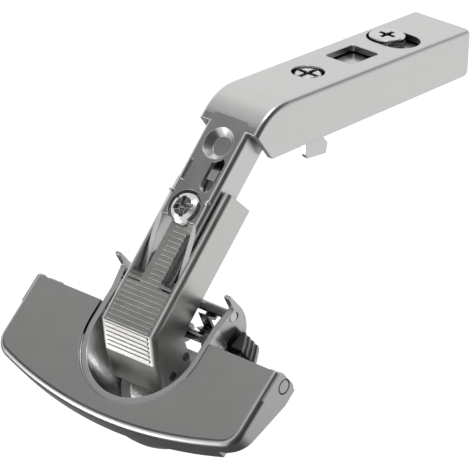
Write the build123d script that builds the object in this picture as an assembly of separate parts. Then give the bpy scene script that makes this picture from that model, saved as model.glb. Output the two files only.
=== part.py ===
"""Concealed folding door hinge: drilled-in cup, lift-up fixing cover, four-bar linkage and bent arm.

Units are millimetres. The origin is on the axis of the round pot, in the plane of the door's face. +Z points
out of the door, +X runs from the pot towards the arm and +Y runs along the hinge pins. The hinge is modelled
fully open, with its arm on its stop. Left is +Y and right is -Y.
"""
from build123d import *
from math import cos, radians, sin
import os

# Pot, which fills a round hole drilled in the door
pot_diameter = 35.0
pot_depth = 10.8
pot_wall = 1.0
pot_floor = 1.2
pot_foot_radius = 4.0
pot_rear_x = 4.0

# Flange, which lies on the door
flange_thickness = 2.0
flange_rear_x = 2.0
flange_rear_inset = 1.4
flange_corner_x, flange_corner_inset = -12.8, 4.6
flange_nose_x, flange_nose_inset = -15.2, 7.4
flange_front_inset = 1.3

# Trough, the U-shaped bracket whose sides run on as cheeks
trough_half_inner = 12.4
trough_sheet = 1.2
trough_round_x = -1.7
trough_foot_radius = 3.5
trough_top_z = 7.2
trough_floor = 1.2
cheek_straight_x = 5.2
cheek_rear_x = 11.3
cheek_splay = 1.2
prong_width = 1.3
prong_height = 3.2
trough_seat_gap = 0.05

# Lift-up cover
cover_half_length = 31.0
cover_top_z = 7.5
cover_sheet = 1.0
cover_front_radius = 92.5
cover_front_x = -19.4
cover_corner_radius = 4.5
cover_edge_radius = 1.3
cover_rim_z = 2.3
rim_turn_x = -12.5
cover_gap = 0.35
ear_front_x = -17.3
ear_front_z = 5.6
ear_rear_x = 2.6
ear_low_z = 0.3
ear_round_radius = 2.0

# Cover pivots
lever_pin_x = 0.9
lever_pin_z = 3.7
lever_pin_radius = 1.5
lever_lug_radius = 2.2
lever_lug_width = 2.6
running_gap = 0.05

# Clamp jaws, which bite into the wall of the drilled hole beside the trough
jaw_reach = 0.2
jaw_travel = 0.6
jaw_sheet = 1.15
jaw_front_x = -3.0
jaw_neck_x = 4.6
jaw_rear_x = 8.2
jaw_strip_low_z, jaw_strip_high_z = -4.0, -0.05
jaw_relief = 0.7
jaw_head_low_z, jaw_head_high_z = -4.8, 1.9
jaw_tooth_count = 4
jaw_tooth_height = 0.5

# Linkage pins, as X and Z
rear_cup_pin_x, rear_cup_pin_z = 9.11, 5.74
front_cup_pin_x, front_cup_pin_z = 3.67, 3.24
inner_arm_pin_x, inner_arm_pin_z = -0.66, 2.40
outer_arm_pin_x, outer_arm_pin_z = -5.14, 2.69
pin_radius = 1.0
pin_head_length = 0.6
pin_press_gap = 0.02
eye_radius = 1.9
link_band = 1.5
inner_link_half = 2.4
inner_link_rise = 3.2
outer_link_inner_half = 3.0
outer_link_outer_half = 4.8
outer_link_rise = 4.6
bush_radius = 2.0
bush_length = 2.4

# Closing spring, a leaf between the cup pins
spring_sheet = 0.5
spring_inner_half, spring_outer_half = 7.2, 9.7

# Lower channel, the part of the arm that the linkage carries
arm_slope = 5.4
knee_x, knee_z = -2.9, 13.8
channel_half = 6.8
channel_sheet = 1.2
channel_height = 7.8
channel_length = 30.9
channel_edge_radius = 1.1
hook_step_x, hook_step_z = -6.5, 8.4
hook_tip_x, hook_tip_z = -9.3, 2.1
hook_bottom_z = 0.2
hook_heel_x = -0.6
rib_pitch = 1.0
rib_height = 0.22
rib_width = 0.5
rib_full_length = 10.6
rib_rack_end = 27.0
rib_rack_left = 0.9
tongue_half = 2.4
tongue_root, tongue_length = 1.0, 3.6
tongue_side_cut = 0.3
tine_slot_side_inset = 0.15
tine_slot_start = 9.0
tail_heel_rise = 2.2
tail_corner_at, tail_corner_drop = 4.5, 0.6
tail_start_at = 6.5
hook_nose_width = 0.8

# Bent arm
arm_back_z = 18.5
arm_back_x = 28.5
bend_x = 45.7
upper_slope = -43.35
bend_radius = 11.0
arm_sheet = 1.2
lower_height = 6.3
lower_front_x = 19.6
tine_reach = 11.0
tine_slope_depth = 3.8
foot_reach, foot_tip_length, foot_length, foot_depth = 1.9, 2.6, 5.0, 3.9
upper_half = 7.35
upper_height = 9.5
upper_length = 59.0
upper_nose_x, upper_nose_z = 38.8, 12.0
upper_nose_top_x = 39.4
arm_edge_radius = 1.1

# Adjusting screws
spiral_x = 22.0
spiral_radius = 3.2
spiral_head_height = 1.6
spiral_groove_radius = 2.7
web_notch_radius = 3.6
slot_start, slot_end = 6.4, 13.8
slot_half = 1.5
tongue_tab_start, tongue_tab_end = 28.6, 30.7
tongue_tab_half = 0.95
tongue_tab_wall_gap = 0.7
dent_x = 35.7
dent_top_radius, dent_floor_radius = 3.3, 2.0
dent_depth = 1.5
dent_wall = 0.6
bead_start, bead_end = 7.2, 11.6
bead_y, bead_half, bead_depth = 3.6, 0.45, 0.35
side_screw_at = 18.7
side_screw_radius = 2.75
side_screw_sink, side_screw_head = 0.25, 1.0
side_screw_hole_radius = 3.3
square_hole_at = 31.7
square_hole_length, square_hole_width = 8.4, 6.9
square_hole_corner = 0.8
cam_at = 44.2
cam_y = 1.0
cam_throw = 0.6
cam_radius = 3.6
cam_top = 0.5
cam_rim, cam_groove, cam_groove_depth = 0.85, 0.3, 0.4
cam_slot_at = 44.2
cam_slot_half = 4.1
cam_slot_half_length = 5.75
screw_shank_radius = 1.6
far_corner_radius = 1.2

# Clip bracket inside the upper arm
bracket_side_gap = 0.4
bracket_sheet = 1.1
bracket_depth = 8.4
bracket_start, bracket_end = 11.0, 57.0
# Hooks below its sides: distance along the arm, and reach below the side's edge
far_tab = ((46.4, 0), (45.2, 1.3), (40.6, 1.3), (39.4, 0))
round_tab = ((36.6, 0), (36.3, 1.5), (35.0, 2.5), (32.8, 2.5), (31.7, 1.5), (31.4, 0))
hook_plate = (
    (17.1, 0),
    (17.2, 2.9),
    (17.8, 3.7),
    (18.6, 4.4),
    (18.2, 6.6),
    (12.8, 6.2),
    (12.1, 5.2),
    (12.0, 0),
)

# Latch at the rear of the clip bracket
latch_pin_at = 52.0
latch_pin_depth = 5.6
latch_pin_radius = 0.8
latch_eye_wall = 1.2
# Side view of the latch, from its pin: distance along the arm, and depth
latch_outline = (
    (-1.8, -1.4),
    (3.6, -1.4),
    (3.6, 0.8),
    (1.4, 1.6),
    (0.6, 4.0),
    (-1.8, 4.0),
    (-2.6, 2.8),
    (-1.8, 2.4),
)
latch_window_high, latch_window_low = -0.4, 1.0

travel_gap = 0.3


def vec(angle):
    """Unit vector at an angle in degrees, in the plane of X and Z."""
    return Vector(cos(radians(angle)), sin(radians(angle)))


def plate(face, low_y, high_y):
    """A face drawn in X and Z, made solid between two values of Y."""
    plane = Plane(origin=(0, high_y, 0), x_dir=(1, 0, 0), z_dir=(0, -1, 0))
    return extrude(plane * face, high_y - low_y)


def both_plates(face, low, high):
    """The same plate on the left and on the right."""
    return plate(face, low, high) + plate(face, -high, -low)


def polygon(*points):
    """A face bounded by straight lines."""
    return make_face(Polyline(*points, close=True))


def rod(x, z, radius, low_y, high_y):
    """A cylinder along Y."""
    return plate(Pos(x, z) * Circle(radius), low_y, high_y)


# Arm geometry, worked out in the plane of X and Z
lower_dir = vec(arm_slope)
lower_up = vec(arm_slope + 90)
upper_dir = vec(upper_slope)
upper_up = vec(upper_slope + 90)
bend_corner = Vector(bend_x, arm_back_z + (bend_x - arm_back_x) * lower_dir.Y / lower_dir.X)
half_turn = radians(arm_slope - upper_slope) / 2
bisector = (lower_up + upper_up).normalized()
bend_centre = bend_corner - bisector * (bend_radius / cos(half_turn))
knee = Vector(knee_x, knee_z)

# Widths that follow from the channel and from the upper arm
rib_full_half = channel_half - channel_edge_radius - travel_gap
tine_slot_outer_half = channel_half - channel_sheet - tine_slot_side_inset
lower_half = tine_slot_outer_half - travel_gap
slot_y = tongue_tab_half + tongue_tab_wall_gap + arm_sheet - lower_half
bracket_half = upper_half - arm_sheet - bracket_side_gap
bracket_top = arm_sheet + travel_gap


def on_lower(along, depth=0.0):
    """Point of the bent arm's lower back: distance from its front end, and depth below its face."""
    start = bend_centre + lower_up * bend_radius
    start = start - lower_dir * ((start.X - lower_front_x) / lower_dir.X)
    return start + lower_dir * along - lower_up * depth


def on_upper(along, depth=0.0):
    """Point of the upper arm: distance from the bend's corner, and depth below its face."""
    return bend_corner + upper_dir * along - upper_up * depth


def on_channel(along, depth=0.0):
    """Point of the lower channel: distance from its knee, and depth below its face."""
    return knee + lower_dir * along - lower_up * depth


def xy(point):
    """A point of the plane of X and Z as a plain pair."""
    return (point.X, point.Y)


def tilted(point, slope, x_side=1):
    """Plane that lies on a back of the arm at a point, with its normal out of the metal."""
    up = vec(slope + 90)
    along = vec(slope)
    return Plane(
        origin=(point.X, 0, point.Y),
        x_dir=(x_side * along.X, 0, x_side * along.Y),
        z_dir=(up.X, 0, up.Y),
    )


def cover_outline(inset=0.0, half_length=cover_half_length, rear_x=flange_rear_x):
    """Crescent seen from above: a straight rear edge and a long curved front."""
    arc_centre = cover_front_x + cover_front_radius
    disc = Pos(arc_centre, 0) * Circle(cover_front_radius - inset)
    width = 2 * (half_length - inset)
    block = Pos(rear_x - 30, 0) * Rectangle(60, width)
    shape = disc & block
    corners = [v for v in shape.vertices() if v.X < rear_x - 1]
    return fillet(corners, cover_corner_radius - inset)


def u_outline(half_width, rear_x):
    """U seen from above: a round front and straight sides that run to the rear."""
    length = rear_x - trough_round_x
    straight = Pos(trough_round_x + length / 2, 0) * Rectangle(length, 2 * half_width)
    front = Pos(trough_round_x - half_width / 2, 0) * Rectangle(half_width, 2 * half_width)
    return straight + (front & Pos(trough_round_x, 0) * Circle(half_width))


def make_cup():
    """Drawn pot and the flange that lies on the door."""
    pot_radius = pot_diameter / 2
    foot = [vec(-90 + 22.5 * index) * pot_foot_radius for index in range(5)]
    foot_centre = Vector(pot_radius - pot_foot_radius, pot_foot_radius - pot_depth)
    profile = [xy(foot_centre + point) for point in foot]
    pot = revolve(Plane.XZ * polygon((0, -pot_depth), *profile, (pot_radius, 0), (0, 0)), Axis.Z)
    cavity_height = pot_depth - pot_floor
    cavity = Pos(0, 0, -cavity_height / 2) * Cylinder(pot_radius - pot_wall, cavity_height)
    cavity = chamfer(cavity.edges().group_by(Axis.Z)[0], 0.6 * pot_foot_radius)
    pot -= cavity
    behind = Box(2 * pot_radius, 3 * pot_radius, 2 * pot_depth)
    pot -= Pos(pot_rear_x + pot_radius, 0, -pot_depth / 2) * behind

    front = cover_outline(flange_front_inset)
    taper = polygon(
        (flange_rear_x, cover_half_length - flange_rear_inset),
        (flange_corner_x, cover_half_length - flange_corner_inset),
        (flange_nose_x, cover_half_length - flange_nose_inset),
        (cover_front_x, 0),
        (flange_nose_x, flange_nose_inset - cover_half_length),
        (flange_corner_x, flange_corner_inset - cover_half_length),
        (flange_rear_x, flange_rear_inset - cover_half_length),
    )
    flange = extrude(front & taper, flange_thickness)

    lug = Pos(lever_pin_x, lever_pin_z) * Circle(lever_lug_radius)
    foot_height = lever_pin_z - flange_thickness / 2
    lug += Pos(lever_pin_x - lever_lug_radius / 2, flange_thickness / 2 + foot_height / 2) * Rectangle(
        lever_lug_radius, foot_height
    )
    lug_outer = cover_half_length - cover_sheet - travel_gap
    lugs = both_plates(lug, lug_outer - lever_lug_width, lug_outer)
    flange += lugs
    flange -= rod(lever_pin_x, lever_pin_z, lever_pin_radius + running_gap, -lug_outer - 1, lug_outer + 1)
    flange -= extrude(u_outline(trough_half_inner + trough_sheet + trough_seat_gap, 10), 20, both=True)
    return pot + flange


def make_trough():
    """U-shaped bracket whose sides run on to the rear as cheeks that carry the cup pins."""
    outer_half = trough_half_inner + trough_sheet
    floor_z = -pot_depth + pot_floor
    height = trough_top_z - floor_z + 6
    outer = Pos(0, 0, floor_z) * extrude(u_outline(outer_half, cheek_straight_x), height)
    foot = outer.edges().group_by(Axis.Z)[0].filter_by(lambda e: e.center().X < cheek_straight_x - 0.1)
    outer = chamfer(foot, 0.6 * trough_foot_radius)
    inner = extrude(u_outline(trough_half_inner, cheek_straight_x + 1), height)
    inner = Pos(0, 0, floor_z + trough_floor) * inner
    foot = inner.edges().group_by(Axis.Z)[0].filter_by(lambda e: e.center().X < cheek_straight_x + 0.9)
    inner = chamfer(foot, 0.6 * (trough_foot_radius - trough_sheet))
    shell = outer - inner

    splay = make_face(
        Polyline(
            (cheek_straight_x, trough_half_inner),
            (cheek_rear_x + 1, trough_half_inner + cheek_splay),
            (cheek_rear_x + 1, outer_half + cheek_splay),
            (cheek_straight_x, outer_half),
            close=True,
        )
    )
    cheek = Pos(0, 0, floor_z) * extrude(splay, height)
    shell += cheek + mirror(cheek, Plane.XZ)

    prong_x = cheek_rear_x - prong_width
    side = make_face(
        [
            Line((-30, floor_z), (pot_rear_x - 0.4, floor_z)),
            Line((pot_rear_x - 0.4, floor_z), (pot_rear_x, -2.6)),
            ThreePointArc((pot_rear_x, -2.6), (9.5, 0.9), (cheek_rear_x, trough_top_z)),
            Line((cheek_rear_x, trough_top_z), (cheek_rear_x, trough_top_z + prong_height)),
            Line(
                (cheek_rear_x, trough_top_z + prong_height),
                (cheek_rear_x - prong_width / 2, trough_top_z + prong_height),
            ),
            Line((cheek_rear_x - prong_width / 2, trough_top_z + prong_height), (prong_x, trough_top_z)),
            Line((prong_x, trough_top_z), (-30, trough_top_z)),
            Line((-30, trough_top_z), (-30, floor_z)),
        ]
    )
    shell &= plate(side, -30, 30)
    for x, z in ((rear_cup_pin_x, rear_cup_pin_z), (front_cup_pin_x, front_cup_pin_z)):
        shell -= rod(x, z, pin_radius + pin_press_gap, -30, 30)
    return shell


def make_cover():
    """Crescent cover that lifts about two ear pivots to drive the clamp jaws."""
    outline = cover_outline()
    solid = extrude(outline, cover_top_z)
    rim = solid.edges().group_by(Axis.Z)[-1].filter_by(lambda e: e.center().X < flange_rear_x - 0.1)
    solid = fillet(rim, cover_edge_radius)
    inner = extrude(cover_outline(cover_sheet, rear_x=flange_rear_x + 5), cover_top_z - cover_sheet + 1)
    solid -= Pos(0, 0, -1) * inner
    low = polygon(
        (-40, cover_rim_z),
        (rim_turn_x, cover_rim_z),
        (-3.0, ear_low_z),
        (10, ear_low_z),
        (10, -5),
        (-40, -5),
    )
    solid -= plate(low, -40, 40)
    ear_cut = polygon(
        (ear_front_x - 1.5, ear_front_z),
        (-1.5, ear_low_z),
        (-1.5, -5),
        (ear_front_x - 1.5, -5),
    )
    solid -= both_plates(ear_cut, cover_half_length - cover_corner_radius, cover_half_length + 5)
    solid -= extrude(u_outline(trough_half_inner + trough_sheet + cover_gap, 10), 20)

    ear = polygon(
        (-4, 1.5),
        (-1.2, ear_low_z),
        (ear_rear_x, ear_low_z),
        (ear_rear_x, cover_top_z - cover_edge_radius),
        (flange_rear_x, cover_top_z - 0.5),
        (-4, cover_top_z - 0.5),
    )
    ear = fillet(ear.vertices().filter_by(lambda v: v.X > 2.3 and v.Y < 1), ear_round_radius)
    solid += both_plates(ear, cover_half_length - cover_sheet, cover_half_length)
    solid -= rod(lever_pin_x, lever_pin_z, lever_pin_radius + running_gap, -50, 50)
    return solid


def make_lever_pin(side):
    """Rivet through an ear of the cover and a lug of the flange, with a low domed head outside."""
    inner_y = cover_half_length - cover_sheet - travel_gap - lever_lug_width
    pin = rod(lever_pin_x, lever_pin_z, lever_pin_radius, inner_y, cover_half_length)
    pin = chamfer(pin.edges().filter_by(GeomType.CIRCLE).group_by(Axis.Y)[-1], 0.25)
    return pin if side > 0 else mirror(pin, Plane.XZ)


def make_jaw(side):
    """Flat jaw in the pot's side channel, with a toothed head behind the pot."""
    inner_y = trough_half_inner + trough_sheet + running_gap + jaw_travel
    outer_y = inner_y + jaw_sheet
    bite_radius = pot_diameter / 2 + jaw_reach
    strip = Pos((jaw_front_x + jaw_neck_x) / 2, (inner_y + outer_y) / 2) * Rectangle(
        jaw_neck_x - jaw_front_x + 0.2, jaw_sheet
    )
    jaw = Pos(0, 0, jaw_strip_low_z) * extrude(strip, jaw_strip_high_z - jaw_strip_low_z)
    head = polygon(
        (jaw_neck_x, inner_y),
        (cheek_straight_x, inner_y),
        (jaw_rear_x, inner_y + jaw_relief),
        (jaw_rear_x, outer_y + 5),
        (jaw_neck_x, outer_y + 5),
    )
    root = head & Circle(bite_radius - jaw_tooth_height)
    jaw += Pos(0, 0, jaw_head_low_z) * extrude(root, jaw_head_high_z - jaw_head_low_z)
    pitch = (jaw_head_high_z - jaw_head_low_z) / jaw_tooth_count
    sector = extrude(head, 60, both=True)
    for index in range(jaw_tooth_count):
        low = jaw_head_low_z + index * pitch
        tooth = Pos(0, 0, low + pitch / 2) * Cone(bite_radius - jaw_tooth_height, bite_radius, pitch)
        jaw += tooth & sector
    return jaw if side > 0 else mirror(jaw, Plane.XZ)


def arch_band(start, end, rise, width):
    """Band of a link that rises over a pin between its two eyes."""
    middle = (start + end) * 0.5
    across = (end - start).normalized()
    up = Vector(-across.Y, across.X)
    if up.Y < 0:
        up = up * -1
    path = ThreePointArc(xy(start), xy(middle + up * rise), xy(end))
    return trace(path, width)


def link_shape(start, end, rise, band, eye):
    """Side view of a link: two eyes and an arched band."""
    shape = arch_band(start, end, rise, band)
    shape += Pos(start.X, start.Y) * Circle(eye)
    shape += Pos(end.X, end.Y) * Circle(eye)
    return shape


def make_inner_link():
    """Link in the middle of the channel, from the rear cup pin to the inner arm pin."""
    start = Vector(rear_cup_pin_x, rear_cup_pin_z)
    end = Vector(inner_arm_pin_x, inner_arm_pin_z)
    shape = link_shape(start, end, inner_link_rise, link_band, eye_radius)
    link = plate(shape, -inner_link_half, inner_link_half)
    for point in (start, end):
        link -= rod(point.X, point.Y, pin_radius + running_gap, -10, 10)
    return link


def make_outer_link():
    """Pair of side plates from the front cup pin to the outer arm pin, joined by a barrel at the arm."""
    start = Vector(front_cup_pin_x, front_cup_pin_z)
    end = Vector(outer_arm_pin_x, outer_arm_pin_z)
    shape = link_shape(start, end, outer_link_rise, link_band, eye_radius)
    link = both_plates(shape, outer_link_inner_half, outer_link_outer_half)
    link += rod(end.X, end.Y, eye_radius, -outer_link_outer_half, outer_link_outer_half)
    for point in (start, end):
        link -= rod(point.X, point.Y, pin_radius + running_gap, -10, 10)
    return link


def make_bush(side):
    """Spacer bush on the front cup pin, against a cheek."""
    high = trough_half_inner - running_gap
    ring = Circle(bush_radius) - Circle(pin_radius + running_gap)
    bush = plate(Pos(front_cup_pin_x, front_cup_pin_z) * ring, high - bush_length, high)
    return bush if side > 0 else mirror(bush, Plane.XZ)


def channel_face(depth, rear, drop):
    """Side view of the lower channel: its back at a depth below the face, and its open bottom."""
    front_up = Vector(knee_z - hook_step_z, hook_step_x - knee_x).normalized()
    hook_up = Vector(hook_step_z - hook_tip_z, hook_tip_x - hook_step_x).normalized()
    shift = front_up * depth
    hook_shift = hook_up * depth
    top_front = on_channel(depth * 0.5, depth)
    step = Vector(hook_step_x, hook_step_z) + (shift + hook_shift) * 0.5
    tip = Vector(hook_tip_x, hook_tip_z) + hook_shift
    corner_z = on_channel(tail_corner_at, channel_height + drop).Y - tail_corner_drop
    return polygon(
        xy(top_front),
        xy(step),
        xy(tip),
        (tip.X + hook_nose_width, hook_bottom_z - drop),
        (hook_heel_x, hook_bottom_z - drop),
        (hook_heel_x + tail_heel_rise, corner_z),
        xy(on_channel(tail_start_at, channel_height + drop)),
        xy(on_channel(rear, channel_height + drop)),
        xy(on_channel(rear, depth)),
    )


def back_edges(solid, half, points):
    """Edges at the full width of a folded channel, along each face of its back that has one of the points."""
    chosen = ShapeList()
    tops = solid.faces().filter_by(lambda f: abs(f.normal_at().Y) < 0.01)
    for point in points:
        back = tops.sort_by(lambda f: (f.center() - Vector(point.X, 0, point.Y)).length)[0]
        chosen += [e for e in back.edges() if abs(abs(e.center().Y) - half) < 0.01]
    return chosen


def make_ribs():
    """Rack of fine ribs across the channel's back, for the depth screw's spiral."""
    ribs = []
    full_count = int(rib_full_length / rib_pitch)
    for index in range(full_count):
        place = tilted(on_channel((index + 0.7) * rib_pitch), arm_slope)
        ribs.append(place * Box(rib_width, 2 * rib_full_half, 2 * rib_height))
    rack_count = int((rib_rack_end - rib_full_length) / rib_pitch)
    for index in range(rack_count):
        place = tilted(on_channel((full_count + index + 0.7) * rib_pitch), arm_slope)
        width = tongue_half + rib_rack_left
        rib = Box(rib_width, width, 2 * rib_height)
        ribs.append(place * (Pos(0, (rib_rack_left - tongue_half) / 2, 0) * rib))
    front = knee - Vector(hook_step_x, hook_step_z)
    front_slope = Vector(1, 0).get_angle(front)
    for index in range(int(front.length / rib_pitch)):
        point = knee - front.normalized() * ((index + 0.6) * rib_pitch)
        ribs.append(tilted(point, front_slope) * Box(rib_width, 2 * rib_full_half, 2 * rib_height))
    return ribs


def make_channel():
    """Lower channel with its ribbed back, the hooked front that holds the arm pins, and the open rear."""
    outer = plate(channel_face(0, channel_length, 0), -channel_half, channel_half)
    step = Vector(hook_step_x, hook_step_z)
    tip = Vector(hook_tip_x, hook_tip_z)
    middles = (on_channel(channel_length / 2), (knee + step) * 0.5, (step + tip) * 0.5)
    outer = fillet(back_edges(outer, channel_half, middles), channel_edge_radius)
    inner_half = channel_half - channel_sheet
    inner = plate(channel_face(channel_sheet, channel_length + 5, 4), -inner_half, inner_half)
    shell = outer - inner
    for side in (-1, 1):
        slot_length = channel_length - tine_slot_start + tongue_length + 5
        low, high = tongue_half, tine_slot_outer_half
        centre = tilted(on_channel(tine_slot_start + slot_length / 2), arm_slope)
        shell -= centre * (Pos(0, side * (low + high) / 2, 0) * Box(slot_length, high - low, 4))
    tongue = plate(
        polygon(
            xy(on_channel(channel_length - tongue_root)),
            xy(on_channel(channel_length + tongue_length)),
            xy(on_channel(channel_length + tongue_length, channel_sheet)),
            xy(on_channel(channel_length - tongue_root, channel_sheet)),
        ),
        slot_y - tongue_tab_half,
        tongue_half - tongue_side_cut,
    )
    shell += tongue
    tab_low = on_channel((tongue_tab_start - knee_x) / lower_dir.X, channel_sheet / 2)
    tab_high = on_lower((tongue_tab_end - lower_front_x) / lower_dir.X, 0.2)
    tab_length = tongue_tab_end - tongue_tab_start
    tab = polygon(
        xy(tab_low),
        xy(tab_low + lower_dir * tab_length),
        xy(tab_high),
        xy(tab_high - lower_dir * tab_length),
    )
    shell += plate(tab, slot_y - tongue_tab_half, slot_y + tongue_tab_half)
    shell += make_ribs()
    for x, z in ((inner_arm_pin_x, inner_arm_pin_z), (outer_arm_pin_x, outer_arm_pin_z)):
        shell -= rod(x, z, pin_radius + pin_press_gap, -20, 20)
    return shell


def upper_face(depth, nose_extra, far, height):
    """Side view of the upper arm's flanges, from the nose to the far end."""
    d = bend_centre + upper_up * (bend_radius - depth)
    c = bend_centre + bisector * (bend_radius - depth)
    nose_top = Vector(upper_nose_top_x - nose_extra, 0)
    b = bend_centre + lower_up * (bend_radius - depth)
    b = b - lower_dir * (b.X - nose_top.X)
    nose_low = Vector(upper_nose_x, upper_nose_z) - upper_dir * nose_extra
    nose_low -= upper_up * (height - upper_height)
    start_arc = bend_centre + lower_up * (bend_radius - depth)
    return make_face(
        [
            Line(xy(nose_low), xy(b)),
            Line(xy(b), xy(start_arc)),
            ThreePointArc(xy(start_arc), xy(c), xy(d)),
            Line(xy(d), xy(on_upper(far, depth))),
            Line(xy(on_upper(far, depth)), xy(on_upper(far, height))),
            Line(xy(on_upper(far, height)), xy(nose_low)),
        ]
    )


def on_upper_back(point):
    """True for a point on the line of the upper arm's back or of its bend."""
    flat = Vector(point.X, point.Z)
    above = (flat - bend_corner).dot(upper_up)
    past = (flat - bend_corner).dot(upper_dir)
    if past > 0 and abs(above) < 0.05 and past < upper_length - 0.5:
        return True
    if abs((flat - bend_centre).length - bend_radius) < 0.6:
        return True
    low = (flat - on_lower(0)).dot(lower_up)
    return abs(low) < 0.05


def make_arm():
    """Bent arm: a narrow forked channel that slides in the lower channel, and a wide upper channel."""
    upper = plate(upper_face(0, 0, upper_length, upper_height), -upper_half, upper_half)
    sides = upper.edges().filter_by(lambda e: abs(abs(e.center().Y) - upper_half) < 0.01)
    upper = fillet(sides.filter_by(lambda e: on_upper_back(e.center())), arm_edge_radius)
    far_low = on_upper(upper_length, upper_height)
    across = upper.edges().filter_by(Axis.Y)
    corner = across.sort_by(lambda e: (e.center() - Vector(far_low.X, 0, far_low.Y)).length)[0]
    upper = fillet(corner, far_corner_radius)
    inner_half = upper_half - arm_sheet
    upper -= plate(upper_face(arm_sheet, 3, upper_length + 3, upper_height + 3), -inner_half, inner_half)

    reach = (upper_nose_top_x + 2.0 - lower_front_x) / lower_dir.X
    lower = plate(
        polygon(
            xy(on_lower(0)),
            xy(on_lower(reach)),
            xy(on_lower(reach, lower_height)),
            xy(on_lower(-tine_reach, lower_height)),
            xy(on_lower(-tine_reach, tine_slope_depth)),
        ),
        -lower_half,
        lower_half,
    )
    lower = fillet(back_edges(lower, lower_half, (on_lower(reach / 2),)), arm_edge_radius)
    lower_inner = lower_half - arm_sheet
    lower -= plate(
        polygon(
            xy(on_lower(-tine_reach - 5, arm_sheet)),
            xy(on_lower(reach + 5, arm_sheet)),
            xy(on_lower(reach + 5, lower_height + 5)),
            xy(on_lower(-tine_reach - 5, lower_height + 5)),
        ),
        -lower_inner,
        lower_inner,
    )
    for side in (-1, 1):
        inner_y, tip_y = side * (lower_inner + 0.2), side * (lower_inner - foot_reach)
        foot = make_face(
            Polyline(
                (-tine_reach, inner_y),
                (-tine_reach, tip_y + side * 0.4),
                (-tine_reach + 0.7, tip_y),
                (-tine_reach + foot_tip_length, tip_y),
                (-tine_reach + foot_length, inner_y),
                close=True,
            )
        )
        flat = tilted(on_lower(0, foot_depth + arm_sheet), arm_slope) * foot
        lower += extrude(flat, arm_sheet)
    fork_cut = polygon(
        xy(on_lower(0.001, -3)),
        xy(on_lower(0.001, arm_sheet + 0.5)),
        xy(on_lower(-tine_reach - 5, arm_sheet + 0.5)),
        xy(on_lower(-tine_reach - 5, -3)),
    )
    lower -= plate(fork_cut, -lower_inner, lower_inner)
    arm = upper + lower

    spiral_plane = tilted(on_lower(spiral_x - lower_front_x), arm_slope)
    arm -= spiral_plane * Cylinder(web_notch_radius, 6)
    slot = SlotOverall(slot_end - slot_start, 2 * slot_half)
    slot_plane = tilted(on_lower((slot_start + slot_end) / 2), arm_slope)
    arm -= extrude(slot_plane * (Pos(0, slot_y) * slot), arm_sheet + 0.3, both=True)
    bead = SlotOverall(bead_end - bead_start, 2 * bead_half)
    bead_plane = tilted(on_lower((bead_start + bead_end) / 2), arm_slope)
    arm -= extrude(bead_plane * (Pos(0, bead_y) * bead), bead_depth, both=True)
    arm = cut_dent(arm)

    arm -= tilted(on_upper(side_screw_at), upper_slope) * Cylinder(side_screw_hole_radius, 3 * arm_sheet)
    hole = RectangleRounded(square_hole_length, square_hole_width, square_hole_corner)
    arm -= extrude(tilted(on_upper(square_hole_at), upper_slope) * hole, arm_sheet + 0.3, both=True)
    cam_slot = Rot(0, 0, 90) * SlotOverall(2 * cam_slot_half_length, 2 * cam_slot_half)
    arm -= extrude(tilted(on_upper(cam_slot_at), upper_slope) * cam_slot, arm_sheet + 0.3, both=True)
    return arm


def cut_dent(arm):
    """Round drawn dent in the arm's back, just before the bend."""
    plane = tilted(on_lower((dent_x - lower_front_x) / lower_dir.X), arm_slope)
    outer_depth = dent_depth + dent_wall
    bulge = Cone(dent_floor_radius + dent_wall, dent_top_radius + dent_wall, outer_depth)
    arm += plane * (Pos(0, 0, -outer_depth / 2) * bulge)
    return arm - plane * (Pos(0, 0, -dent_depth / 2) * Cone(dent_floor_radius, dent_top_radius, dent_depth))


def make_bracket():
    """Clip bracket inside the upper arm, with the hooks that catch a mounting plate."""
    outline = [(bracket_start, bracket_top), (bracket_end, bracket_top), (bracket_end, bracket_depth)]
    for hook in (far_tab, round_tab, hook_plate):
        outline += [(along, bracket_depth + reach) for along, reach in hook]
    side = polygon(*[xy(on_upper(along, depth)) for along, depth in outline])
    bracket = plate(side, -bracket_half, bracket_half)
    cut = polygon(
        xy(on_upper(bracket_start - 10, bracket_top + bracket_sheet)),
        xy(on_upper(bracket_end + 5, bracket_top + bracket_sheet)),
        xy(on_upper(bracket_end + 5, bracket_depth + 12)),
        xy(on_upper(bracket_start - 10, bracket_depth + 12)),
    )
    inner = bracket_half - bracket_sheet
    bracket -= plate(cut, -inner, inner)
    bracket -= tilted(on_upper(side_screw_at), upper_slope) * Cylinder(screw_shank_radius + running_gap, 8)
    cam_plane = tilted(on_upper(cam_at), upper_slope)
    bracket -= cam_plane * (Pos(0, cam_y, 0) * Cylinder(screw_shank_radius + running_gap, 8))
    latch_pin = on_upper(latch_pin_at, latch_pin_depth)
    bracket -= rod(latch_pin.X, latch_pin.Y, latch_pin_radius + pin_press_gap, -10, 10)
    return bracket


def make_latch_pin():
    """Pin across the clip bracket, on which the latch swings."""
    point = on_upper(latch_pin_at, latch_pin_depth)
    return rod(point.X, point.Y, latch_pin_radius, -bracket_half, bracket_half)


def make_latch():
    """Hooked latch that swings between the sides of the clip bracket."""
    centre = on_upper(latch_pin_at, latch_pin_depth)
    points = [on_upper(latch_pin_at + along, latch_pin_depth + depth) for along, depth in latch_outline]
    body = polygon(*[xy(point) for point in points])
    half = bracket_half - bracket_sheet - travel_gap
    latch = plate(body, -half, half)
    high, low = latch_pin_depth + latch_window_high, latch_pin_depth + latch_window_low
    window = polygon(
        xy(on_upper(latch_pin_at - 5, high)),
        xy(on_upper(latch_pin_at + 5, high)),
        xy(on_upper(latch_pin_at + 5, low)),
        xy(on_upper(latch_pin_at - 5, low)),
    )
    latch -= plate(window, latch_eye_wall - half, half - latch_eye_wall)
    return latch - rod(centre.X, centre.Y, latch_pin_radius + running_gap, -10, 10)


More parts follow.
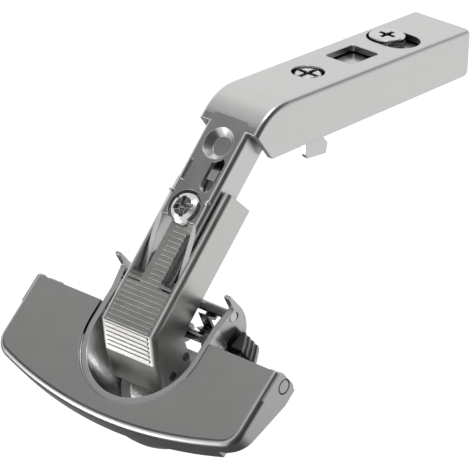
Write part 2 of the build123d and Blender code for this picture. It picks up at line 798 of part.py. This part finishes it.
def cross_recess(depth, width=0.9, length=3.6):
    """Cross recess of a screw head, opening upwards at the origin."""
    slot = Pos(0, 0, -depth / 2) * Box(length, width, depth)
    centre = Pos(0, 0, -depth / 2) * Cylinder(0.9 * width, depth)
    return slot + Rot(0, 0, 90) * slot + centre


def make_spiral_screw():
    """Depth screw: a domed head in the arm's notch over a grooved foot that runs on the rack."""
    head = Cylinder(spiral_radius, 0.6 * spiral_head_height)
    head = chamfer(head.edges().group_by(Axis.Z)[-1], 0.4)
    crown = Cone(spiral_radius - 0.4, 0.6 * spiral_radius, 0.3 * spiral_head_height)
    head += Pos(0, 0, 0.45 * spiral_head_height) * crown
    head = Pos(0, 0, 0.7 * spiral_head_height) * head
    foot = Pos(0, 0, 0.15 * spiral_head_height) * Cylinder(spiral_radius, 0.3 * spiral_head_height)
    waist = Pos(0, 0, 0.35 * spiral_head_height) * Cylinder(spiral_groove_radius, 0.3 * spiral_head_height)
    screw = foot + waist + head
    top = screw.bounding_box().max.Z
    screw -= Pos(0, 0, top) * Rot(0, 0, 20) * cross_recess(1.0, 0.9, 4.2)
    rack_depth = (on_lower(0) - knee).dot(lower_up) - rib_height - running_gap
    return tilted(on_lower(spiral_x - lower_front_x, rack_depth), arm_slope) * screw


def make_side_screw():
    """Side adjusting screw, sunk in the arm's round hole and threaded into the clip bracket."""
    head_centre = -side_screw_sink - side_screw_head / 2
    head = Pos(0, 0, head_centre) * Cylinder(side_screw_radius, side_screw_head)
    head = chamfer(head.edges().group_by(Axis.Z)[-1], 0.35)
    shank = Pos(0, 0, -4.0) * Cylinder(screw_shank_radius, 6.0)
    screw = head + shank
    screw -= Pos(0, 0, -side_screw_sink) * cross_recess(0.9 * side_screw_head, 1.0, 4.8)
    return tilted(on_upper(side_screw_at), upper_slope) * screw


def make_cam_screw():
    """Cam screw: an eccentric grooved disc in the arm's oval slot, on a shank in the clip bracket."""
    upper = Pos(0, 0, cam_top - cam_rim / 2) * Cylinder(cam_radius, cam_rim)
    upper = chamfer(upper.edges().group_by(Axis.Z)[-1], 0.2)
    groove_top = cam_top - cam_rim
    groove = Pos(0, 0, groove_top - cam_groove / 2) * Cylinder(cam_radius - cam_groove_depth, cam_groove)
    disc_top = groove_top - cam_groove
    disc_bottom = -bracket_top + 0.1
    disc = Pos(0, 0, (disc_top + disc_bottom) / 2) * Cylinder(cam_radius, disc_top - disc_bottom)
    cam = upper + groove + disc
    cam -= Pos(0, 0, cam_top) * cross_recess(1.2, 0.9, 3.8)
    shank = Pos(0, 0, -bracket_top - 1.0) * Cylinder(screw_shank_radius, 3.0)
    screw = Pos(0, cam_throw, 0) * cam + shank
    return tilted(on_upper(cam_at), upper_slope) * (Pos(0, cam_y, 0) * screw)


def make_closing_spring():
    """Zig-zag leaf spring that bears on both cup pins, beside the right cheek."""
    reach = pin_radius + running_gap + spring_sheet / 2
    line = Polyline(
        (rear_cup_pin_x + 1.2, rear_cup_pin_z - reach),
        (rear_cup_pin_x - 1.4, rear_cup_pin_z - reach),
        (rear_cup_pin_x - 2.0, rear_cup_pin_z + 0.4),
        (front_cup_pin_x + reach + 1.1, front_cup_pin_z - 0.6),
        (front_cup_pin_x + reach, front_cup_pin_z + 1.0),
        (front_cup_pin_x + reach, front_cup_pin_z - 1.4),
    )
    return plate(trace(line, spring_sheet), -spring_outer_half, -spring_inner_half)


def main():
    """Build every piece and write it to its own file."""
    cheek_y = trough_half_inner + trough_sheet
    head_y = cheek_y + pin_head_length
    pieces = {
        "cup": make_cup(),
        "link_bracket": make_trough(),
        "cover_lever": make_cover(),
        "lever_pin_left": make_lever_pin(1),
        "lever_pin_right": make_lever_pin(-1),
        "jaw_left": make_jaw(1),
        "jaw_right": make_jaw(-1),
        "rear_cup_pin": rod(rear_cup_pin_x, rear_cup_pin_z, pin_radius, -head_y, head_y),
        "front_cup_pin": rod(front_cup_pin_x, front_cup_pin_z, pin_radius, -cheek_y, cheek_y),
        "pin_bush_left": make_bush(1),
        "pin_bush_right": make_bush(-1),
        "closing_spring": make_closing_spring(),
        "inner_link": make_inner_link(),
        "outer_link": make_outer_link(),
        "inner_arm_pin": rod(inner_arm_pin_x, inner_arm_pin_z, pin_radius, -channel_half, channel_half),
        "outer_arm_pin": rod(outer_arm_pin_x, outer_arm_pin_z, pin_radius, -channel_half, channel_half),
        "lower_channel": make_channel(),
        "bent_arm": make_arm(),
        "clip_bracket": make_bracket(),
        "latch_pin": make_latch_pin(),
        "clip_latch": make_latch(),
        "spiral_screw": make_spiral_screw(),
        "side_screw": make_side_screw(),
        "cam_screw": make_cam_screw(),
    }
    os.makedirs("parts", exist_ok=True)
    for name, shape in pieces.items():
        export_step(shape, f"parts/{name}.step")


main()
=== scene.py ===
import math

import bmesh
import bpy
from mathutils import Matrix, Vector


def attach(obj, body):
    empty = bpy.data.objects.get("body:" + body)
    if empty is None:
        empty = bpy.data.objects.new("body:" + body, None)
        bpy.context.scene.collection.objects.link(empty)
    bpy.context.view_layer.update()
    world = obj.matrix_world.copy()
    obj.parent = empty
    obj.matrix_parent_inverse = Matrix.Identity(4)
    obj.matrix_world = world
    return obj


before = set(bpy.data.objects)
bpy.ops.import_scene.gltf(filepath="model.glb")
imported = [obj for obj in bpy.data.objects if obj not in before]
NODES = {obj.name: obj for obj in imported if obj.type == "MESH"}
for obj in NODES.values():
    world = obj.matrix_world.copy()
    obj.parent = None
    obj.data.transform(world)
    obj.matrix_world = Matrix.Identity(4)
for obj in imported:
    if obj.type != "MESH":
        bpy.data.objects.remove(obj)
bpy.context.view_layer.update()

MM = 0.001

# The arm's lower back: its slope, and a point on it (mm)
LOWER_SLOPE = math.radians(5.4)
LOWER_POINT_X, LOWER_POINT_Z = 28.5, 18.5

# Details that only the visual model has (mm; the lip's turn in degrees)
PEG_X, PEG_Y = 24.2, 4.55
PEG_RADIUS, PEG_HEIGHT, PEG_SUNK = 0.5, 0.9, 0.3
WEB_X, WEB_Y, WEB_DEPTH, WEB_SHEET = (31.9, 35.6), (-3.97, 3.97), 4.6, 0.5
SHELF_X, SHELF_Y, SHELF_DEPTH, SHELF_SHEET = (7.6, 18.0), (-3.75, -1.9), 2.9, 0.55
PLATE_BREAK = 0.12
LIP_CENTRE_X, LIP_REACH, LIP_Z, LIP_RADIUS = -1.7, 13.6 + 0.175, 7.29, 0.14
LIP_FROM, LIP_TURN, LIP_STEPS = 106, 148, 40

# Studio (m)
FLOOR_HALF, FLOOR_Z = 3.0, -0.12
FLOOR_SHEEN = 0.74
ROOM_LEVEL, BRIGHT_LEVEL = 0.72, 0.8

# Noise runs around its middle between these values
NOISE_LOW, NOISE_HIGH = 0.3, 0.7


def cleared_tree(owner):
    owner.use_nodes = True
    owner.node_tree.nodes.clear()
    return owner.node_tree


def add(tree, kind, **settings):
    node = tree.nodes.new(kind)
    for key, value in settings.items():
        setattr(node, key, value)
    return node


def smooth(tree, value, low, high, at_low, at_high):
    """A value that goes smoothly from one level to another."""
    node = add(tree, "ShaderNodeMapRange", interpolation_type="SMOOTHSTEP")
    for key, number in (("From Min", low), ("From Max", high), ("To Min", at_low), ("To Max", at_high)):
        node.inputs[key].default_value = number
    tree.links.new(value, node.inputs["Value"])
    return node.outputs["Result"]


def maths(tree, operation, first, second):
    node = add(tree, "ShaderNodeMath", operation=operation)
    for socket, value in zip(node.inputs, (first, second)):
        if isinstance(value, (int, float)):
            socket.default_value = value
        else:
            tree.links.new(value, socket)
    return node.outputs["Value"]


def noise(tree, coords, size, detail=3.0, rough=0.5):
    """Noise whose patches are about a size in millimetres across."""
    node = add(tree, "ShaderNodeTexNoise")
    node.inputs["Scale"].default_value = 1 / (size * MM)
    node.inputs["Detail"].default_value = detail
    node.inputs["Roughness"].default_value = rough
    tree.links.new(coords, node.inputs["Vector"])
    return node.outputs["Fac"]


def mixed(tree, factor, first, second):
    """The first shader where the factor is 0, and the second where it is 1."""
    node = add(tree, "ShaderNodeMixShader")
    for socket, value in zip(node.inputs, (factor, first, second)):
        tree.links.new(value, socket)
    return node.outputs["Shader"]


def metal(
    name, colour, roughness, mottle=0.06, mottle_size=5.0, grain=0.22, fleck=0.06, bump=0.12, spread=0.02,
    edge_radius=0.18, hollow_shade=0.45, shade_reach=9.0,
):
    """Plated sheet steel: cloudy patches, fine grain, soft worn edges, and painted shade that darkens the
    hollows.
    """
    material = bpy.data.materials.new(name)
    tree = cleared_tree(material)
    link = tree.links.new
    out = add(tree, "ShaderNodeOutputMaterial")
    shader = add(tree, "ShaderNodeBsdfPrincipled")
    shader.inputs["Metallic"].default_value = 1.0
    link(shader.outputs["BSDF"], out.inputs["Surface"])
    coords = add(tree, "ShaderNodeTexCoord").outputs["Object"]
    patches = noise(tree, coords, mottle_size, detail=5.0, rough=0.6)
    grains = noise(tree, coords, grain)
    open_sky = add(tree, "ShaderNodeAmbientOcclusion", samples=6)
    open_sky.inputs["Distance"].default_value = shade_reach * MM
    tone_and_shade = maths(
        tree, "MULTIPLY",
        smooth(tree, patches, NOISE_LOW, NOISE_HIGH, 1.0 - mottle, 1.0),
        smooth(tree, grains, NOISE_LOW, NOISE_HIGH, 1.0 - fleck, 1.0),
    )
    # Painted shade: an ambient occlusion node darkens the base colour in hollows, gaps and under other parts.
    tone_and_shade = maths(tree, "MULTIPLY", tone_and_shade, smooth(tree, open_sky.outputs["AO"], 0.15, 0.8, hollow_shade, 1.0))
    mix = add(tree, "ShaderNodeMix", data_type="RGBA")
    mix.inputs["A"].default_value = (0.0, 0.0, 0.0, 1.0)
    mix.inputs["B"].default_value = (*colour, 1.0)
    link(tone_and_shade, mix.inputs["Factor"])
    link(mix.outputs["Result"], shader.inputs["Base Color"])
    gloss = smooth(tree, patches, NOISE_LOW, NOISE_HIGH, roughness - spread, roughness + spread)
    link(gloss, shader.inputs["Roughness"])
    edge = add(tree, "ShaderNodeBevel", samples=4)
    edge.inputs["Radius"].default_value = edge_radius * MM
    relief = add(tree, "ShaderNodeBump")
    relief.inputs["Strength"].default_value = bump
    relief.inputs["Distance"].default_value = 0.02 * MM
    link(grains, relief.inputs["Height"])
    link(edge.outputs["Normal"], relief.inputs["Normal"])
    link(relief.outputs["Normal"], shader.inputs["Normal"])
    return material


def paint(material, *names):
    for name in names:
        piece = NODES[name]
        piece.data.materials.clear()
        piece.data.materials.append(material)


def build_materials():
    """Materials of all CAD nodes; those that new pieces share are returned."""
    arm = metal("arm_nickel", (0.86, 0.86, 0.85), 0.3, mottle=0.03)
    cover = metal("cover_nickel", (0.65, 0.65, 0.64), 0.3, mottle=0.04, mottle_size=7.0, spread=0.015)
    # The cup and the bracket take deep painted shade in their hollows.
    cup = metal("cup_nickel", (0.68, 0.68, 0.67), 0.3, hollow_shade=0.1, shade_reach=16.0)
    channel = metal("channel_nickel", (0.88, 0.87, 0.85), 0.36, mottle=0.05, edge_radius=0.05, hollow_shade=0.95)
    bracket = metal("bracket_nickel", (0.84, 0.84, 0.83), 0.22, mottle=0.04, hollow_shade=0.12, shade_reach=14.0)
    link_steel = metal("link_steel", (0.6, 0.6, 0.59), 0.28)
    spring = metal("spring_steel", (0.62, 0.62, 0.61), 0.22)
    pin = metal("pin_steel", (0.8, 0.8, 0.8), 0.16, mottle=0.03)
    screw = metal("screw_bright", (0.9, 0.9, 0.9), 0.14, mottle=0.02)
    jaw = metal("jaw_steel", (0.36, 0.36, 0.36), 0.35)
    paint(arm, "bent_arm", "clip_latch")
    paint(cover, "cover_lever", "lever_pin_left", "lever_pin_right")
    paint(cup, "cup")
    paint(channel, "lower_channel")
    paint(bracket, "link_bracket", "clip_bracket")
    paint(link_steel, "inner_link", "outer_link", "pin_bush_left", "pin_bush_right")
    paint(spring, "closing_spring")
    paint(pin, "rear_cup_pin", "front_cup_pin", "inner_arm_pin", "outer_arm_pin", "latch_pin")
    paint(screw, "spiral_screw", "side_screw", "cam_screw")
    paint(jaw, "jaw_left", "jaw_right")
    return arm, cover, link_steel


def mesh_piece(name, build, material, body):
    """A new piece from mesh code, which rides on a body."""
    mesh = bpy.data.meshes.new(name)
    shape = bmesh.new()
    build(shape)
    bmesh.ops.recalc_face_normals(shape, faces=shape.faces)
    for face in shape.faces:
        face.smooth = True
    shape.to_mesh(mesh)
    shape.free()
    piece = bpy.data.objects.new(name, mesh)
    bpy.context.scene.collection.objects.link(piece)
    mesh.materials.append(material)
    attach(piece, body)


def skin(shape, lines):
    """Closed skin over rings of points, given in millimetres, with a flat face at each end."""
    rings = [[shape.verts.new(point * MM) for point in line] for line in lines]
    for low, high in zip(rings, rings[1:]):
        for step in range(len(low)):
            shape.faces.new((low[step - 1], low[step], high[step], high[step - 1]))
    shape.faces.new(rings[0])
    shape.faces.new(rings[-1])


def peg_builder(foot, up, radius, height, sides=20):
    """Short round peg with a domed top, turned about its axis."""
    up = up.normalized()
    side = up.orthogonal().normalized()
    turns = [Matrix.Rotation(2 * math.pi * step / sides, 3, up) for step in range(sides)]
    profile = [(radius, 0.0), (radius, 0.55), (0.86 * radius, 0.82), (0.5 * radius, 0.97)]

    def build(shape):
        lines = []
        for reach, share in profile:
            lines.append([foot + turn @ side * reach + up * height * share for turn in turns])
        skin(shape, lines)

    return build


def lip_builder(path, radius, sides=8):
    """Thin rounded bead along an open line of points."""
    up = Vector((0, 0, 1))
    angles = [2 * math.pi * step / sides for step in range(sides)]

    def build(shape):
        lines = []
        for index, point in enumerate(path):
            before, after = path[max(index - 1, 0)], path[min(index + 1, len(path) - 1)]
            side = up.cross((after - before).normalized()).normalized()
            offsets = [side * math.cos(angle) * radius + up * math.sin(angle) * radius for angle in angles]
            lines.append([point + offset for offset in offsets])
        skin(shape, lines)

    return build


def lower_back(x, y):
    """A point of the arm's lower back, in millimetres."""
    return Vector((x, y, LOWER_POINT_Z + (x - LOWER_POINT_X) * math.tan(LOWER_SLOPE)))


def plate_builder(x, y, depth, thick, corner=0.7, corner_steps=6):
    """Thin plate with round corners that lies a depth under the arm's lower back, its edges broken."""
    slope = Matrix.Rotation(-LOWER_SLOPE, 3, "Y")
    middle = (x[0] + x[1]) / 2
    corners = (
        (x[1] - corner, y[1] - corner),
        (x[0] + corner, y[1] - corner),
        (x[0] + corner, y[0] + corner),
        (x[1] - corner, y[0] + corner),
    )

    def build(shape):
        place = lower_back(middle, 0)
        verts = []
        for number, (centre_x, centre_y) in enumerate(corners):
            for step in range(corner_steps):
                angle = math.radians(90 * (number + step / (corner_steps - 1)))
                along = centre_x + corner * math.cos(angle) - middle
                across = centre_y + corner * math.sin(angle)
                verts.append(shape.verts.new((place + slope @ Vector((along, across, -depth))) * MM))
        face = shape.faces.new(verts)
        grown = bmesh.ops.extrude_face_region(shape, geom=[face])["geom"]
        moved = [item for item in grown if isinstance(item, bmesh.types.BMVert)]
        bmesh.ops.translate(shape, verts=moved, vec=slope @ Vector((0, 0, -thick * MM)))
        rims = [edge for edge in shape.edges if edge.is_manifold and edge.calc_face_angle(0.0) > 1.0]
        bmesh.ops.bevel(shape, geom=rims, offset=PLATE_BREAK * MM, segments=2, affect="EDGES", profile=0.5)

    return build


def build_details(arm, cover, shade_sheet_steel):
    """Small pressed details that the plain solids leave out, and two dark sheets that are partly pressed
    parts and partly painted shade.
    """
    up = Vector((-math.sin(LOWER_SLOPE), 0, math.cos(LOWER_SLOPE)))
    for name, y in (("arm_peg_left", PEG_Y), ("arm_peg_right", -PEG_Y)):
        foot = lower_back(PEG_X, y) - up * PEG_SUNK
        mesh_piece(name, peg_builder(foot, up, PEG_RADIUS, PEG_HEIGHT), arm, "arm")
    # Dark sheets under the arm's slot and under the channel: partly a pressed part, partly painted shade that
    # keeps the open bottoms from showing the white floor.
    web = plate_builder(WEB_X, WEB_Y, WEB_DEPTH, WEB_SHEET)
    mesh_piece("arm_cross_web_shade", web, shade_sheet_steel, "arm")
    shelf = plate_builder(SHELF_X, SHELF_Y, SHELF_DEPTH, SHELF_SHEET, corner=0.5)
    mesh_piece("channel_shelf_shade", shelf, shade_sheet_steel, "channel")
    path = []
    for step in range(LIP_STEPS + 1):
        angle = math.radians(LIP_FROM + LIP_TURN * step / LIP_STEPS)
        path.append(Vector((LIP_CENTRE_X + LIP_REACH * math.cos(angle), LIP_REACH * math.sin(angle), LIP_Z)))
    mesh_piece("cover_lip", lip_builder(path, LIP_RADIUS), cover, "cover")


def build_floor():
    """Plain pale floor below the hinge that keeps its shadow; metal sees a painted reflection of it, darker
    to the front and left.
    """
    half, z = FLOOR_HALF, FLOOR_Z
    mesh = bpy.data.meshes.new("floor")
    corners = [(-half, -half, z), (half, -half, z), (half, half, z), (-half, half, z)]
    mesh.from_pydata(corners, [], [(0, 1, 2, 3)])
    floor = bpy.data.objects.new("floor", mesh)
    bpy.context.scene.collection.objects.link(floor)
    material = bpy.data.materials.new("floor_white")
    tree = cleared_tree(material)
    link = tree.links.new
    out = add(tree, "ShaderNodeOutputMaterial")
    diffuse = add(tree, "ShaderNodeBsdfDiffuse")
    diffuse.inputs["Color"].default_value = (0.92, 0.92, 0.92, 1.0)
    glow = add(tree, "ShaderNodeEmission")
    glow.inputs["Strength"].default_value = 0.6
    both = add(tree, "ShaderNodeAddShader")
    link(diffuse.outputs["BSDF"], both.inputs[0])
    link(glow.outputs["Emission"], both.inputs[1])
    place = add(tree, "ShaderNodeSeparateXYZ")
    link(add(tree, "ShaderNodeTexCoord").outputs["Object"], place.inputs["Vector"])
    # Painted reflection: glossy rays see the floor darkened to the front and left, while the camera sees it
    # evenly white.
    front = smooth(tree, place.outputs["Y"], -0.34, -0.16, 0.35, 1.0)
    front = maths(tree, "MULTIPLY", front, smooth(tree, place.outputs["Y"], -1.2, -0.7, 0.1, 1.0))
    left = smooth(tree, place.outputs["X"], -0.08, 0.06, 0.12, 1.0)
    painted_reflection = add(tree, "ShaderNodeEmission")
    link(maths(tree, "MULTIPLY", maths(tree, "MULTIPLY", front, left), FLOOR_SHEEN), painted_reflection.inputs["Strength"])
    path = add(tree, "ShaderNodeLightPath")
    unseen = mixed(tree, path.outputs["Is Glossy Ray"], diffuse.outputs["BSDF"], painted_reflection.outputs["Emission"])
    seen = both.outputs["Shader"]
    link(mixed(tree, path.outputs["Is Camera Ray"], unseen, seen), out.inputs["Surface"])
    mesh.materials.append(material)


def near_direction(tree, direction, target, low, high):
    """How near a direction of the room is to a target, from 0 to 1."""
    dot = add(tree, "ShaderNodeVectorMath", operation="DOT_PRODUCT")
    dot.inputs[1].default_value = Vector(target).normalized()
    tree.links.new(direction, dot.inputs[0])
    return smooth(tree, dot.outputs["Value"], low, high, 0.0, 1.0)


def build_world():
    """Soft room: pale all round, dark to the front, grey overhead at the back, and white for the camera."""
    world = bpy.data.worlds.new("studio")
    bpy.context.scene.world = world
    tree = cleared_tree(world)
    link = tree.links.new
    out = add(tree, "ShaderNodeOutputWorld")
    direction = add(tree, "ShaderNodeTexCoord").outputs["Generated"]
    parts = add(tree, "ShaderNodeSeparateXYZ")
    link(direction, parts.inputs["Vector"])
    front = smooth(tree, parts.outputs["Y"], -0.42, -0.16, 0.08, 1.0)
    overhead = near_direction(tree, direction, (0.12, 0.6, 0.79), 0.8, 0.93)
    grey = smooth(tree, parts.outputs["X"], 0.02, 0.27, 0.0, 0.5)
    pale = maths(tree, "MULTIPLY", maths(tree, "SUBTRACT", 1.0, overhead), ROOM_LEVEL)
    room = maths(tree, "ADD", pale, maths(tree, "MULTIPLY", overhead, grey))
    low_left = near_direction(tree, direction, (-0.77, 0.6, 0.23), 0.88, 0.98)
    room = maths(tree, "ADD", room, maths(tree, "MULTIPLY", low_left, BRIGHT_LEVEL))
    soft = add(tree, "ShaderNodeBackground")
    link(maths(tree, "MULTIPLY", room, front), soft.inputs["Strength"])
    white = add(tree, "ShaderNodeBackground")
    for back in (soft, white):
        back.inputs["Color"].default_value = (1, 1, 1, 1)
    seen = add(tree, "ShaderNodeLightPath").outputs["Is Camera Ray"]
    link(mixed(tree, seen, soft.outputs["Background"], white.outputs["Background"]), out.inputs["Surface"])


def area_light(name, place, target, size, power):
    data = bpy.data.lights.new(name, "AREA")
    data.shape = "RECTANGLE"
    data.size, data.size_y = size
    data.energy = power
    lamp = bpy.data.objects.new(name, data)
    bpy.context.scene.collection.objects.link(lamp)
    lamp.location = place
    direction = Vector(target) - Vector(place)
    lamp.rotation_euler = direction.to_track_quat("-Z", "Y").to_euler()


def build_lights():
    area_light("key", (0.65, -0.1, 0.75), (0.03, 0, 0), (0.25, 0.25), 2.0)
    area_light("rim", (-0.75, 0.55, 0.2), (0, 0, 0), (0.4, 0.3), 1.2)


def build_camera():
    """Camera at the photograph's place: turned to look down along the arm, with a long lens."""
    data = bpy.data.cameras.new("camera")
    data.sensor_fit = "HORIZONTAL"
    data.sensor_width = 36.0
    data.lens = 314.284
    data.clip_start, data.clip_end = 0.01, 20.0
    camera = bpy.data.objects.new("camera", data)
    bpy.context.scene.collection.objects.link(camera)
    right = Vector((0.50692817, -0.74490055, -0.43375915))
    up = Vector((0.83182289, 0.29078233, 0.47277513))
    back = Vector((-0.22604096, -0.60047382, 0.76703108))
    turn = Matrix((right, up, back)).transposed().to_4x4()
    camera.matrix_world = Matrix.Translation((-0.151401, -0.470441, 0.601199)) @ turn
    bpy.context.scene.camera = camera


build_details(*build_materials())
build_floor()
build_world()
build_lights()
build_camera()
bpy.context.scene.view_settings.view_transform = "Standard"
